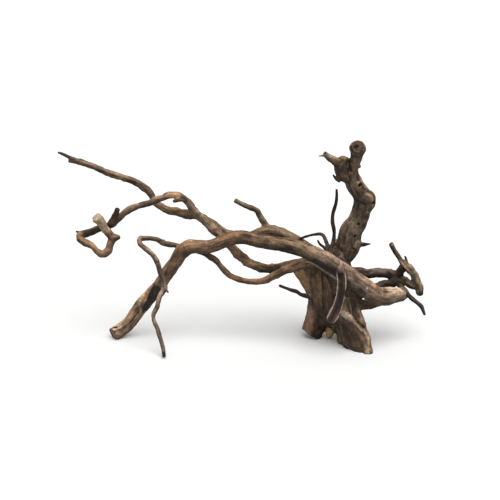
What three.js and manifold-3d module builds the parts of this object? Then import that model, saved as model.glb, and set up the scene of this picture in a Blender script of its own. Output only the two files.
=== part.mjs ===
// One piece of dry spiderwood root: a stump on sawn feet, a long limb that arches down to the left,
// an upright spar, and thinner roots and twigs that wind round them. Millimetres, +Z up.
// The origin lies on the floor under the stump's front foot, and +X points to the stump's right.

import * as THREE from "three";
import { mergeVertices } from "three/addons/utils/BufferGeometryUtils.js";
import Module from "manifold-3d";

// Driving dimensions

const RING_SPACING = { perRadius: 1.3, least: 7.5, most: 14 }; // distance between rings along a root
const FACET_WIDTH = 5.2; // aimed width of a facet round a root
const SIDES = { least: 6, most: 12 }; // facets round the thinnest twig and round the stump
const DOME_RINGS = 2; // extra rings that round off a blunt end
const TIP_GAP = 0.5; // how far short of a dome's tip its last ring stops, in rings

// Wood isn't turned on a lathe: its section is oval and fluted, twists along the root, and swells.
const SECTION = { oval: 0.07, flute: 0.05, swell: 0.04, twist: 0.012, swellLength: 34 };

const FLOOR = { length: 600, width: 300, depth: 60 }; // what is sawn off below the feet
const FLOOR_CENTRE_X = -140;

const RANDOM = { multiplier: 1664525, increment: 1013904223, range: 2 ** 32 };

const WOOD = { color: 0x7d5c42, roughness: 0.85, metalness: 0 };

// Roots. Each route lists [x, y, z, radius] along the middle of a root. The two values of ends say how far
// its first and last end bulge, in radii: 0 is sawn flat and 1 is round.

const FLAT = 0;
const BLUNT = 0.45;
const ROUND = 1;
const STUMP_FLUTING = 2.2; // how much rougher the stump's section is than a thin root's

const ROOTS = {
  mainLimb: {
    ends: [ROUND, FLAT],
    route: [
      [64, 26, 57, 4], [57, 18, 60, 7.5], [49, 8, 64, 9], [37, -4, 67, 11], [24, -12, 71, 11],
      [11, -18, 82, 11.5], [-2, -21, 93, 11], [-30, -21, 113, 10], [-60, -15, 128, 9.5],
      [-88, -8, 134, 8.5], [-118, -1, 137, 8], [-146, 4, 140, 8.5], [-157, 5, 136, 8], [-182, 7, 127, 8],
      [-196, 8, 127, 8.5], [-206, 10, 125, 9.6], [-224, 15, 102, 8.2], [-242, 21, 72, 7.8],
      [-263, 26, 44, 9.5], [-272, 28, 31, 9], [-280, 30, 19, 8.5], [-293, 29, 10, 8.5], [-302, 23, 7, 8],
    ],
  },
  farRoot: {
    ends: [FLAT, FLAT],
    route: [
      [-41, 24, 102, 10.5], [-78, 26, 130, 7.5], [-105, 29, 140, 7], [-136, 28, 132, 7],
      [-166, 24, 142, 5.8], [-189, 24, 159, 5], [-213, 32, 162, 5], [-241, 40, 169, 4], [-248, 43, 175, 4],
      [-253, 46, 183, 4], [-260, 49, 190, 4.2], [-281, 56, 199, 4], [-306, 64, 205, 4],
      [-335, 72, 215, 3.5], [-348, 76, 217, 3], [-356, 78, 217, 2.7],
    ],
  },
  farSplinter: {
    ends: [FLAT, ROUND],
    route: [[-346, 75, 218, 2.4], [-354, 77, 221, 2], [-362, 80, 224, 1.6], [-369, 83, 226, 0.9]],
  },
  curlRoot: {
    ends: [FLAT, BLUNT],
    route: [
      [-46, 22, 102, 9.5], [-78, 19, 100, 5.5], [-108, 17, 95, 5.5], [-135, 18, 105, 5.5],
      [-156, 18, 127, 5], [-177, 15, 149, 5], [-197, 14, 169, 4.5], [-209, 14, 185, 4],
      [-224, 14, 191, 4], [-233, 15, 188, 4], [-254, 17, 179, 4], [-276, 19, 171, 4],
      [-291, 21, 158, 4], [-299, 24, 150, 4], [-318, 30, 142, 4], [-329, 30, 138, 5],
      [-336, 27, 136, 4.5], [-339, 21, 135, 4], [-337, 15, 134, 4], [-323, 10, 127, 4],
      [-310, 9, 117, 4.2], [-304, 10, 121, 4], [-301, 11, 129, 4], [-299, 12, 136, 4], [-303, 11, 144, 4],
      [-307, 9, 151, 4.5], [-311, 6, 159, 5], [-315, 2, 165, 5.5],
    ],
  },
  curlKnob: {
    ends: [FLAT, ROUND],
    route: [[-300, 12, 136, 3.5], [-294, 11, 137, 4], [-291, 10, 138, 2.9]],
  },
  curlStub: {
    ends: [FLAT, BLUNT],
    route: [[-301, 21, 152, 3], [-297, 19, 159, 3], [-293, 17, 167, 2.9], [-291, 16, 172, 2.9]],
  },
  curlTip: {
    ends: [FLAT, ROUND],
    route: [[-335, 28, 138, 2.5], [-341, 30, 138, 1.6], [-344, 31, 139, 0.9]],
  },
  archStub: {
    ends: [FLAT, ROUND],
    route: [[-207, 13, 184, 2.7], [-215, 11, 185, 2.3], [-222, 10, 184, 1.5]],
  },
  thinRoot: {
    ends: [FLAT, FLAT],
    route: [
      [-38, 2, 104, 6], [-54, 0, 109, 7.5], [-80, 6, 100, 5], [-100, 9, 89, 4], [-117, 9, 81, 3.5],
      [-152, 11, 87, 3],
      [-158, 12, 91, 3.5], [-173, 15, 107, 3.5], [-191, 19, 116, 3], [-216, 19, 124, 2.8],
      [-236, 15, 129, 3], [-244, 14, 134, 2.6], [-258, 12, 136, 2.6], [-264, 9, 136, 2.8],
      [-264, 5, 132, 2.8], [-259, 1, 128, 2.6], [-247, -3, 118, 2.7], [-240, -1, 98, 2.7],
      [-235, 1, 79, 3.2], [-236, -2, 73, 3], [-240, -5, 68, 2.9], [-243, -9, 56, 2.8],
      [-248, -14, 45, 2.7], [-242, -24, 29, 2.4], [-236, -36, 10, 2.3], [-235, -40, 4, 2.2],
    ],
  },
  thinSpur: { ends: [FLAT, ROUND], route: [[-236, 0, 79, 2.2], [-233, -3, 75, 1.5], [-230, -5, 72, 0.7]] },
  spar: {
    ends: [FLAT, BLUNT],
    route: [
      [-26, 10, 93, 11], [-18, 15, 108, 11.5], [-10, 18, 122, 15], [-6, 22, 142, 14], [1, 23, 154, 12],
      [7, 22, 175, 10.5], [7, 21, 185, 10.5], [-4, 17, 205, 10.5], [-8, 14, 222, 8.5], [-5, 11, 230, 7.5],
      [-3, 8, 238, 6.5], [-2, 6, 245, 7.5], [-2, 2, 251, 9.5], [-2, -3, 255, 8.5],
    ],
  },
  sparKnot: {
    ends: [FLAT, BLUNT],
    route: [[6, 18, 188, 8.5], [13, 17, 187, 9], [15, 17, 181, 7.5], [12, 19, 173, 7], [8, 20, 166, 7]],
  },
  sparFork: {
    ends: [FLAT, BLUNT],
    route: [[-9, 16, 211, 8], [-16, 15, 216, 9], [-20, 14, 224, 8.5], [-18, 13, 231, 8], [-16, 12, 236, 5.5]],
  },
  sparSpike: {
    ends: [FLAT, BLUNT],
    route: [
      [-17, 14, 226, 6], [-25, 12, 231, 5.5], [-32, 11, 236, 4.5], [-38, 10, 241, 3.5], [-41, 10, 243, 3],
    ],
  },
  sparFibre: { ends: [FLAT, ROUND], route: [[-38, 10, 240, 1.9], [-42, 9, 241, 1.3], [-48, 8, 241, 0.6]] },
  sparHook: { ends: [FLAT, ROUND], route: [[-21, 11, 209, 2.4], [-26, 10, 212, 1.8], [-30, 9, 217, 0.8]] },
  stumpLeft: {
    fluting: STUMP_FLUTING,
    ends: [FLAT, FLAT],
    route: [
      [-18, 20, 118, 10], [-31, 19, 108, 13], [-44, 19, 95, 16], [-46, 20, 77, 18], [-42, 23, 56, 15.5],
      [-43, 27, 37, 16.5], [-46, 30, 24, 15.5], [-53, 32, 4, 14],
    ],
  },
  stumpFlare: {
    ends: [ROUND, ROUND],
    route: [[-75, 18, 96, 5.5], [-68, 18, 91, 7.5], [-60, 18, 79, 8.5], [-51, 18, 63, 8], [-45, 18, 49, 6]],
  },
  stumpCore: {
    fluting: STUMP_FLUTING,
    ends: [FLAT, ROUND],
    route: [
      [-30, 6, 113, 13.5], [-23, 8, 94, 19], [-20, 8, 71, 19.5], [-19, 8, 52, 17.5], [-21, 12, 35, 13],
      [-24, 18, 19, 8],
    ],
  },
  stumpBack: {
    fluting: STUMP_FLUTING,
    ends: [FLAT, FLAT],
    route: [
      [-17, 26, 124, 9], [-24, 32, 110, 11.5], [-25, 36, 95, 13.5], [-21, 40, 72, 16],
      [-14, 44, 47, 15], [-6, 47, 21, 13.5], [1, 49, -2, 13.5], [3, 51, -19, 13],
    ],
  },
  stumpRight: {
    fluting: STUMP_FLUTING,
    ends: [FLAT, FLAT],
    route: [
      [-18, 4, 69, 17], [-13, 5, 48, 15], [-9, 8, 26, 14], [-7, 11, 7, 14], [-5, 12, -10, 13.5],
      [-5, 12, -21, 13],
    ],
  },
  stumpFront: {
    fluting: STUMP_FLUTING,
    ends: [ROUND, FLAT],
    route: [
      [-19, 4, 80, 10], [-16, -2, 64, 11.5], [-13, -7, 47, 11], [-6, -8, 31, 11.5], [2, -9, 15, 13],
      [7, -11, 1, 12.5], [10, -13, -11, 12],
    ],
  },
  stumpHeel: {
    ends: [FLAT, FLAT],
    route: [
      [-7, 4, 67, 11], [-3, 2, 50, 8], [2, -2, 38, 6.5], [8, -8, 24, 6.5], [12, -16, 11, 6],
      [15, -23, 0, 5.5], [17, -28, -6, 5],
    ],
  },
  stumpPeg: {
    ends: [FLAT, BLUNT],
    route: [[-29, 24, 33, 7.5], [-29, 24, 18, 6], [-30, 24, 8, 5.5], [-31, 24, 3, 3.5]],
  },
  webFlare: {
    ends: [ROUND, ROUND],
    route: [[-46, 12, 98, 9], [-44, 10, 84, 12.5], [-40, 9, 66, 14], [-37, 14, 48, 13], [-37, 20, 32, 11]],
  },
  webMid: {
    ends: [ROUND, ROUND],
    route: [[-37, 8, 98, 8], [-33, 5, 84, 12], [-31, 4, 66, 13.5], [-30, 8, 48, 12.5], [-30, 15, 32, 9.5]],
  },
  webFoot: {
    ends: [ROUND, ROUND],
    route: [[-35, 13, 60, 12], [-38, 18, 40, 13], [-45, 26, 22, 10]],
  },
  webFront: {
    ends: [ROUND, FLAT],
    route: [[-13, 1, 46, 12], [-8, 0, 29, 13], [-3, -1, 12, 14], [-1, -1, 0, 14], [0, -1, -10, 14]],
  },
  finger: {
    ends: [FLAT, ROUND],
    route: [
      [-22, -24, 115, 4.5], [-21, -31, 107, 5], [-20, -34, 96, 5], [-21, -36, 81, 5],
      [-24, -38, 69, 5.5], [-28, -40, 59, 6], [-32, -42, 52, 5.5],
    ],
  },
  darkUpper: {
    ends: [FLAT, ROUND],
    route: [
      [-21, 20, 89, 8], [-3, 26, 87, 7], [14, 30, 84, 6], [31, 33, 84, 5.5], [43, 34, 83, 5.5],
      [53, 34, 81, 6], [57, 32, 87, 5], [61, 28, 93, 4.5], [67, 24, 95, 3.5],
    ],
  },
  darkLower: {
    ends: [FLAT, ROUND],
    route: [
      [-12, 2, 64, 7.5], [8, 9, 66, 5.5], [23, 16, 71, 4.5], [36, 23, 73, 4.5], [47, 29, 73, 5],
      [53, 33, 78, 5.5],
    ],
  },
  underRoot: {
    ends: [FLAT, ROUND],
    route: [[-7, 4, 56, 9], [7, 6, 52, 6.5], [20, 8, 52, 6], [33, 9, 56, 5.5], [45, 9, 62, 5]],
  },
  hookLimb: {
    ends: [FLAT, ROUND],
    route: [
      [42, 10, 130, 2.5], [47, 13, 120, 2.6], [54, 17, 109, 2.7], [60, 20, 100, 3.7], [68, 23, 92, 5.4],
      [73, 23, 85, 5], [76, 22, 77, 5], [80, 21, 69, 5], [80, 20, 64, 5],
    ],
  },
  hookSpike: { ends: [FLAT, BLUNT], route: [[64, 22, 97, 2.2], [63, 22, 104, 1.2], [61, 21, 110, 1]] },
  hookBridge: {
    ends: [FLAT, FLAT],
    route: [[56, 32, 75, 4], [62, 28, 76, 4.5], [67, 25, 74, 4.5], [72, 22, 71, 4], [77, 21, 70, 3.5]],
  },
  bridgeKnob: { ends: [FLAT, ROUND], route: [[62, 27, 76, 3], [63, 26, 78.5, 2.4], [64, 25, 80, 1.6]] },
  darkTwig: {
    ends: [FLAT, ROUND],
    route: [
      [52, 33, 76, 5], [57, 26, 70, 3.5], [63, 18, 65, 2.7], [69, 11, 59, 2.5], [75, 6, 55, 2.3],
      [80, 3, 52, 2.5], [83, 0, 47, 1.8], [85, -2, 42, 1.1],
    ],
  },
  twigTall: {
    ends: [FLAT, ROUND],
    route: [
      [-34, -15, 120, 3.5], [-32, -8, 128, 2.9], [-29, -3, 137, 2.2], [-28, -1, 148, 1.9],
      [-30, 0, 159, 1.8], [-30, 1, 169, 1.8], [-26, 2, 186, 1.7], [-26, 0, 201, 1.3],
    ],
  },
  twigBent: {
    ends: [FLAT, ROUND],
    route: [
      [-33, -14, 119, 3.5], [-35, -7, 128, 2.5], [-38, 1, 137, 1.9], [-42, 7, 142, 1.7],
      [-51, 12, 141, 1.3], [-68, 21, 133, 1.2],
    ],
  },
  twigShort: {
    ends: [FLAT, ROUND],
    route: [[-36, -10, 125, 2.3], [-40, -6, 130, 1.6], [-45, -6, 134, 1.3], [-48, -7, 139, 1.1]],
  },
  sparThorn: {
    ends: [FLAT, ROUND],
    route: [[1, 18, 126, 3], [9, 19, 126, 2.3], [14, 20, 126, 1.7], [18, 21, 126, 0.7]],
  },
  leftTwig: {
    ends: [FLAT, ROUND],
    route: [
      [-46, 14, 55, 3.5], [-58, 7, 62, 3], [-69, 0, 68, 2.3], [-72, -2, 71, 2.8], [-80, -5, 75, 2],
      [-94, -11, 83, 1.1],
    ],
  },
  topTwig: {
    ends: [FLAT, FLAT],
    route: [
      [-107, 30, 142, 4], [-113, 33, 150, 3.5], [-118, 36, 158, 3.3], [-121, 38, 163, 3.2],
      [-132, 42, 167, 3], [-149, 48, 174, 2.6],
    ],
  },
};

const wasm = await Module();
wasm.setup();

// Seeded random numbers, so that every build gives the same wood.
function randomFrom(seed) {
  let state = seed;
  return () => {
    state = (Math.imul(state, RANDOM.multiplier) + RANDOM.increment) >>> 0;
    return state / RANDOM.range;
  };
}

function closedSolid(geometry) {
  geometry.deleteAttribute("normal");
  geometry.deleteAttribute("uv");
  const merged = mergeVertices(geometry);
  return new wasm.Manifold(
    new wasm.Mesh({
      numProp: 3,
      vertProperties: new Float32Array(merged.attributes.position.array),
      triVerts: new Uint32Array(merged.index.array),
    }),
  );
}

// The rings of one root: where each ring sits, how it is turned, and its radius.
function ringsAlong(route, ends) {
  const points = route.map(([x, y, z]) => new THREE.Vector3(x, y, z));
  const radii = route.map(([, , , radius]) => radius);
  const path = new THREE.CatmullRomCurve3(points, false, "centripetal");
  const length = path.getLength();
  const meanRadius = radii.reduce((sum, radius) => sum + radius, 0) / radii.length;
  const { perRadius, least, most } = RING_SPACING;
  const spacing = THREE.MathUtils.clamp(meanRadius * perRadius, least, most);
  const steps = Math.max(2, Math.round(length / spacing));
  const frames = path.computeFrenetFrames(steps, false);
  const rings = [];
  for (let step = 0; step <= steps; step += 1) {
    const along = step / steps;
    const place = path.getUtoTmapping(along) * (route.length - 1);
    const before = Math.min(Math.floor(place), route.length - 2);
    rings.push({
      centre: path.getPointAt(along),
      tangent: frames.tangents[step],
      normal: frames.normals[step],
      binormal: frames.binormals[step],
      radius: THREE.MathUtils.lerp(radii[before], radii[before + 1], place - before),
      distance: along * length,
    });
  }
  const roundOff = (ring, bulge, direction) => {
    const dome = [];
    for (let k = 1; bulge > 0 && k <= DOME_RINGS; k += 1) {
      const angle = (k / (DOME_RINGS + TIP_GAP)) * (Math.PI / 2);
      const reach = direction * ring.radius * bulge * Math.sin(angle);
      const centre = ring.centre.clone().addScaledVector(ring.tangent, reach);
      dome.push({ ...ring, centre, radius: ring.radius * Math.cos(angle) });
    }
    return dome;
  };
  const first = roundOff(rings[0], ends[0], -1).reverse();
  const last = roundOff(rings[steps], ends[1], 1);
  return { rings: [...first, ...rings, ...last], meanRadius };
}

// A root is a cylinder whose rings are moved onto its route.
function rootGeometry({ route, ends, fluting = 1 }, random) {
  const { rings, meanRadius } = ringsAlong(route, ends);
  const around = Math.round((2 * Math.PI * meanRadius) / FACET_WIDTH);
  const sides = THREE.MathUtils.clamp(around, SIDES.least, SIDES.most);
  const geometry = new THREE.CylinderGeometry(1, 1, 1, sides, rings.length - 1);
  const sameArea = Math.sqrt((2 * Math.PI) / (sides * Math.sin((2 * Math.PI) / sides))); // as a round section
  const position = geometry.attributes.position;
  const [ovalTurn, fluteTurn, swellTurn] = [random(), random(), random()].map((share) => share * 2 * Math.PI);
  const point = new THREE.Vector3();
  for (let i = 0; i < position.count; i += 1) {
    point.fromBufferAttribute(position, i);
    const ring = rings[Math.round((0.5 - point.y) * (rings.length - 1))]; // the cylinder is 1 high
    const angle = Math.atan2(point.z, point.x);
    const twist = SECTION.twist * ring.distance;
    const section =
      1 +
      fluting * SECTION.oval * Math.cos(2 * (angle - twist) + ovalTurn) +
      fluting * SECTION.flute * Math.cos(3 * (angle + twist) + fluteTurn) +
      SECTION.swell * Math.sin((2 * Math.PI * ring.distance) / SECTION.swellLength + swellTurn);
    const reach = ring.radius * section * sameArea;
    const { x, z } = point;
    point.copy(ring.centre);
    point.addScaledVector(ring.normal, x * reach);
    point.addScaledVector(ring.binormal, z * reach);
    position.setXYZ(i, point.x, point.y, point.z);
  }
  return geometry;
}

function floorBlock() {
  const block = new THREE.BoxGeometry(FLOOR.length, FLOOR.width, FLOOR.depth);
  block.translate(FLOOR_CENTRE_X, 0, -FLOOR.depth / 2);
  return closedSolid(block);
}

// All roots grew as one body, so they are joined, and the feet are sawn level.
function spiderwoodGeometry() {
  let wood = null;
  Object.values(ROOTS).forEach((root, index) => {
    const solid = closedSolid(rootGeometry(root, randomFrom(index + 1)));
    wood = wood ? wood.add(solid) : solid;
  });
  const { vertProperties, triVerts } = wood.subtract(floorBlock()).getMesh();
  const geometry = new THREE.BufferGeometry();
  geometry.setAttribute("position", new THREE.BufferAttribute(vertProperties, 3));
  geometry.setIndex(new THREE.BufferAttribute(triVerts, 1));
  geometry.computeVertexNormals();
  return geometry;
}

const spiderwood = new THREE.Mesh(spiderwoodGeometry(), new THREE.MeshStandardMaterial(WOOD));
spiderwood.name = "spiderwood_root";

const part = new THREE.Group();
part.add(spiderwood);

export default part;
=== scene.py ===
import math
import bpy
import numpy as np
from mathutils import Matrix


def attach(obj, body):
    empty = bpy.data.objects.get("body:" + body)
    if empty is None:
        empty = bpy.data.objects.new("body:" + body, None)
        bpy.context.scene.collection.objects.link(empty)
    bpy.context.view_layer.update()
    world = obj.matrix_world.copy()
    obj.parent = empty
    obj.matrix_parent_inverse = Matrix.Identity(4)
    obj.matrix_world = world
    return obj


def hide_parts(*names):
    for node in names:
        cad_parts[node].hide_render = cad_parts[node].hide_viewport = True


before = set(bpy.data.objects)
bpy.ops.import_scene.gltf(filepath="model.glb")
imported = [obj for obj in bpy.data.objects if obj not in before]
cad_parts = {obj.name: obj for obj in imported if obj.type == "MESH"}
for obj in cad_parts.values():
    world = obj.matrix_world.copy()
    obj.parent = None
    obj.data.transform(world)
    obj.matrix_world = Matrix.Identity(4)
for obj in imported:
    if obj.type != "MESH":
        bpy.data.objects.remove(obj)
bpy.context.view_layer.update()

mm = 0.001
tiny = 1e-9              # keeps a division by nothing from failing
far = 1.0                # metres, further than any point lies from a root
print("frame loaded")

# Routes of the roots: how both ends are finished, then x, y, z and radius along the middle, in mm
sawn, blunt, domed = 0.0, 0.45, 1.0      # how far an end bulges, in radii
rootRoutes = {
    "mainLimb": (domed, sawn, [
        (64, 26, 57, 4), (57, 18, 60, 7.5), (49, 8, 64, 9), (37, -4, 67, 11), (24, -12, 71, 11),
        (11, -18, 82, 11.5), (-2, -21, 93, 11), (-30, -21, 113, 10), (-60, -15, 128, 9.5),
        (-88, -8, 134, 8.5), (-118, -1, 137, 8), (-146, 4, 140, 8.5), (-157, 5, 136, 8), (-182, 7, 127, 8),
        (-196, 8, 127, 8.5), (-206, 10, 125, 9.6), (-224, 15, 102, 8.2), (-242, 21, 72, 7.8),
        (-264, 26, 45, 8.8), (-273, 28, 32, 8.2), (-281, 30, 20, 8.2), (-293, 29, 10, 8.5),
        (-302, 23, 7, 8.2),
    ]),
    "farRoot": (sawn, sawn, [
        (-41, 24, 102, 10.5), (-78, 26, 130, 7.5), (-105, 29, 140, 7), (-136, 28, 132, 7),
        (-166, 24, 142, 5.8), (-189, 24, 159, 5), (-213, 32, 162, 5), (-241, 40, 169, 4),
        (-248, 43, 175, 4.2), (-253, 46, 183, 4.2), (-260, 49, 190, 4.3), (-281, 56, 198.5, 4.3),
        (-306, 64, 204.6, 4.3), (-335, 72, 214.6, 3.8), (-348, 76, 216.6, 3.3), (-356, 78, 216.8, 2.9),
    ]),
    "farSplinter": (sawn, domed, [
        (-346, 75, 218, 2.4), (-354, 77, 221, 2), (-362, 80, 224, 1.6), (-369, 83, 226, 0.9),
    ]),
    "curlRoot": (sawn, blunt, [
        (-46, 22, 102, 9.5), (-78, 19, 100, 5.5), (-108, 17, 95, 5.5), (-135, 18, 105, 5.5),
        (-156, 18, 127, 5), (-177, 15, 149, 5), (-197, 14, 169, 4.5), (-209, 14, 185, 4),
        (-224, 14, 191, 4), (-233, 15, 188, 4), (-254, 17, 179, 4), (-276, 19, 171, 4), (-291, 21, 158, 4),
        (-299, 24, 150, 4), (-318, 30, 142, 4.4), (-329, 30, 138, 5.2), (-336, 27, 136, 4.8),
        (-339, 21, 135, 4.4), (-337, 15, 134, 4.5), (-323, 10, 127, 4.5), (-310, 9, 117, 4.5),
        (-304, 10, 121, 4.5), (-301, 11, 129, 4.5), (-299, 12, 136, 4.4), (-303, 11, 144, 4.4),
        (-307, 9, 151, 4.5), (-311, 6, 159, 5), (-315, 2, 165, 5.5),
    ]),
    "curlKnob": (sawn, domed, [(-300, 12, 136, 3.5), (-294, 11, 137, 4), (-291, 10, 138, 2.9)]),
    "curlStub": (sawn, blunt, [
        (-301, 21, 152, 3), (-297, 19, 159, 3), (-293, 17, 167, 2.9), (-291, 16, 172, 2.9),
    ]),
    "curlTip": (sawn, domed, [(-335, 28, 138, 2.5), (-341, 30, 138, 1.6), (-344, 31, 139, 0.9)]),
    "archStub": (sawn, domed, [(-207, 13, 184, 2.7), (-215, 11, 185, 2.3), (-222, 10, 184, 1.5)]),
    "thinRoot": (sawn, sawn, [
        (-38, 2, 104, 6), (-54, 0, 109, 7.5), (-80, 6, 100, 5), (-100, 9, 89, 4), (-117, 9, 81, 3.5),
        (-152, 11, 87, 3),
        (-158, 12, 91, 3.5), (-173, 15, 107, 3.5), (-191, 19, 116, 3), (-216, 19, 124, 2.8),
        (-236, 15, 129, 3), (-244, 14, 134, 2.6), (-258, 12, 136, 2.6), (-264, 9, 136, 2.8),
        (-264, 5, 132, 2.8), (-259, 1, 128, 2.6), (-247, -3, 118, 2.7), (-240, -1, 98, 2.7),
        (-235, 1, 79, 3.2), (-236, -2, 73, 3), (-240, -5, 68, 2.9), (-243, -9, 56, 2.8),
        (-248, -14, 45, 2.7), (-242, -24, 29, 2.5), (-236, -36, 10, 2.5), (-234, -44, 2.8, 2.4),
    ]),
    "thinSpur": (sawn, domed, [(-236, 0, 79, 2.2), (-233, -3, 75, 1.5), (-230, -5, 72, 0.7)]),
    "spar": (sawn, blunt, [
        (-26, 10, 93, 11), (-18, 15, 108, 11.5), (-10, 18, 122, 15), (-6, 22, 142, 14), (1, 23, 154, 12),
        (7, 22, 175, 10.5), (7, 21, 185, 10.5), (-4, 17, 205, 10.5), (-8, 14, 222, 8.5),
        (-5, 11, 230, 7.5), (-3, 8, 238, 6.5), (-2, 6, 245, 7.5), (-2, 2, 251, 9.5), (-2, -3, 255, 8.5),
    ]),
    "sparKnot": (sawn, blunt, [
        (6, 18, 188, 8.5), (13, 17, 187, 9), (15, 17, 181, 7.5), (12, 19, 173, 7), (8, 20, 166, 7),
    ]),
    "sparFork": (sawn, blunt, [
        (-9, 16, 211, 8), (-16, 15, 216, 9), (-20, 14, 224, 8.5), (-18, 13, 231, 8), (-16, 12, 236, 5.5),
    ]),
    "sparSpike": (sawn, blunt, [
        (-17, 14, 226, 6), (-25, 12, 231, 5.5), (-32, 11, 236, 4.5), (-38, 10, 241, 3.5),
        (-41, 10, 243, 3),
    ]),
    "sparFibre": (sawn, domed, [(-38, 10, 240, 1.9), (-42, 9, 241, 1.3), (-48, 8, 241, 0.6)]),
    "sparHook": (sawn, domed, [(-21, 11, 209, 2.4), (-26, 10, 212, 1.8), (-30, 9, 217, 0.8)]),
    "stumpLeft": (sawn, sawn, [
        (-18, 20, 118, 10), (-31, 19, 108, 13), (-44, 19, 95, 16), (-46, 20, 77, 18), (-42, 23, 56, 15.5),
        (-43, 27, 37, 16.5), (-46, 30, 24, 15.5), (-53, 32, 4, 14),
    ]),
    "stumpFlare": (domed, domed, [
        (-75, 18, 96, 5.5), (-68, 18, 91, 7.5), (-60, 18, 79, 8.5), (-51, 18, 63, 8), (-45, 18, 49, 6),
    ]),
    "stumpCore": (sawn, domed, [
        (-30, 6, 113, 13.5), (-23, 8, 94, 19), (-20, 8, 71, 19.5), (-19, 8, 52, 17.5), (-21, 12, 35, 13),
        (-24, 18, 19, 8),
    ]),
    "stumpBack": (sawn, sawn, [
        (-17, 26, 124, 9), (-24, 32, 110, 11.5), (-25, 36, 95, 13.5), (-21, 40, 72, 16), (-14, 44, 47, 15),
        (-6, 47, 21, 13.5), (1, 49, -2, 13.5), (3, 51, -19, 13),
    ]),
    "stumpRight": (sawn, sawn, [
        (-18, 4, 69, 17), (-13, 5, 48, 15), (-9, 8, 26, 14), (-7, 11, 7, 14), (-5, 12, -10, 13.5),
        (-5, 12, -21, 13),
    ]),
    "stumpFront": (domed, sawn, [
        (-19, 4, 80, 10), (-16, -2, 64, 11.5), (-13, -7, 47, 11), (-6, -8, 31, 11.5), (2, -9, 15, 13),
        (7, -11, 1, 12.5), (10, -13, -11, 12),
    ]),
    "stumpHeel": (sawn, sawn, [
        (-7, 4, 67, 11), (-3, 2, 50, 8), (2, -2, 38, 6.5), (8, -8, 24, 6.5), (12, -16, 11, 6),
        (15, -23, 0, 5.5), (17, -28, -6, 5),
    ]),
    "stumpPeg": (sawn, blunt, [(-29, 24, 33, 7.5), (-29, 24, 18, 6), (-30, 24, 8, 5.5), (-31, 24, 3, 3.5)]),
    "webFlare": (domed, domed, [
        (-46, 12, 98, 9), (-44, 10, 84, 12.5), (-40, 9, 66, 14), (-37, 14, 48, 13), (-37, 20, 32, 11),
    ]),
    "webMid": (domed, domed, [
        (-37, 8, 98, 8), (-33, 5, 84, 12), (-31, 4, 66, 13.5), (-30, 8, 48, 12.5), (-30, 15, 32, 9.5),
    ]),
    "webFoot": (domed, domed, [(-35, 13, 60, 12), (-38, 18, 40, 13), (-45, 26, 22, 10)]),
    "webFront": (domed, sawn, [
        (-13, 1, 46, 12), (-8, 0, 29, 13), (-3, -1, 12, 14), (-1, -1, 0, 14), (0, -1, -10, 14),
    ]),
    "finger": (sawn, domed, [
        (-22, -24, 115, 4.5), (-21, -31, 107, 5), (-20, -34, 96, 5), (-21, -36, 81, 5),
        (-24, -38, 69, 5.5), (-28, -40, 59, 6), (-32, -42, 52, 5.5),
    ]),
    "darkUpper": (sawn, domed, [
        (-21, 20, 89, 8), (-3, 26, 87, 7), (14, 30, 84, 6), (31, 33, 84, 5.5), (43, 34, 83, 5.5),
        (53, 34, 81, 6), (57, 32, 87, 5), (61, 28, 93, 4.5), (67, 24, 95, 3.5),
    ]),
    "darkLower": (sawn, domed, [
        (-12, 2, 64, 7.5), (8, 9, 66, 5.5), (23, 16, 71, 4.5), (36, 23, 73, 4.5), (47, 29, 73, 5),
        (53, 33, 78, 5.5),
    ]),
    "underRoot": (sawn, domed, [
        (-7, 4, 56, 9), (7, 6, 52, 6.5), (20, 8, 52, 6), (33, 9, 56, 5.5), (45, 9, 62, 5),
    ]),
    "hookLimb": (sawn, domed, [
        (42, 10, 130, 2.5), (47, 13, 120, 2.6), (54, 17, 109, 2.7), (60, 20, 100, 3.7), (68, 23, 92, 5.4),
        (73, 23, 85, 5), (76, 22, 77, 5), (80, 21, 69, 5), (80, 20, 64, 5),
    ]),
    "hookSpike": (sawn, blunt, [(64, 22, 97, 2.2), (63, 22, 104, 1.2), (61, 21, 110, 1)]),
    "hookBridge": (sawn, sawn, [
        (56, 32, 75, 4), (62, 28, 76, 4.5), (67, 25, 74, 4.5), (72, 22, 71, 4), (77, 21, 70, 3.5),
    ]),
    "bridgeKnob": (sawn, domed, [(62, 27, 76, 3), (63, 26, 78.5, 2.4), (64, 25, 80, 1.6)]),
    "darkTwig": (sawn, domed, [
        (52, 33, 76, 5), (57, 26, 70, 3.5), (63, 18, 65, 2.7), (69, 11, 59, 2.5), (75, 6, 55, 2.3),
        (80, 3, 52, 2.5), (83, 0, 47, 1.8), (85, -2, 42, 1.1),
    ]),
    "twigTall": (sawn, domed, [
        (-34, -15, 120, 3.5), (-32, -8, 128, 2.9), (-29, -3, 137, 2.2), (-28, -1, 148, 1.9),
        (-30, 0, 159, 1.8), (-30, 1, 169, 1.8), (-26, 2, 186, 1.7), (-26, 0, 201, 1.3),
    ]),
    "twigBent": (sawn, domed, [
        (-33, -14, 119, 3.5), (-35, -7, 128, 2.5), (-38, 1, 137, 1.9), (-42, 7, 142, 1.7),
        (-51, 12, 141, 1.3), (-68, 21, 133, 1.2),
    ]),
    "twigShort": (sawn, domed, [
        (-36, -10, 125, 2.3), (-40, -6, 130, 1.6), (-45, -6, 134, 1.3), (-48, -7, 139, 1.1),
    ]),
    "sparThorn": (sawn, domed, [
        (1, 18, 126, 3), (9, 19, 126, 2.3), (14, 20, 126, 1.7), (18, 21, 126, 0.7),
    ]),
    "leftTwig": (sawn, domed, [
        (-46, 14, 55, 3.5), (-58, 7, 62, 3), (-69, 0, 68, 2.3), (-72, -2, 71, 2.8), (-80, -5, 75, 2),
        (-94, -11, 83, 1.1),
    ]),
    "topTwig": (sawn, sawn, [
        (-107, 30, 142, 4), (-113, 33, 150, 3.5), (-118, 36, 158, 3.3), (-121, 38, 163, 3.2),
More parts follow.
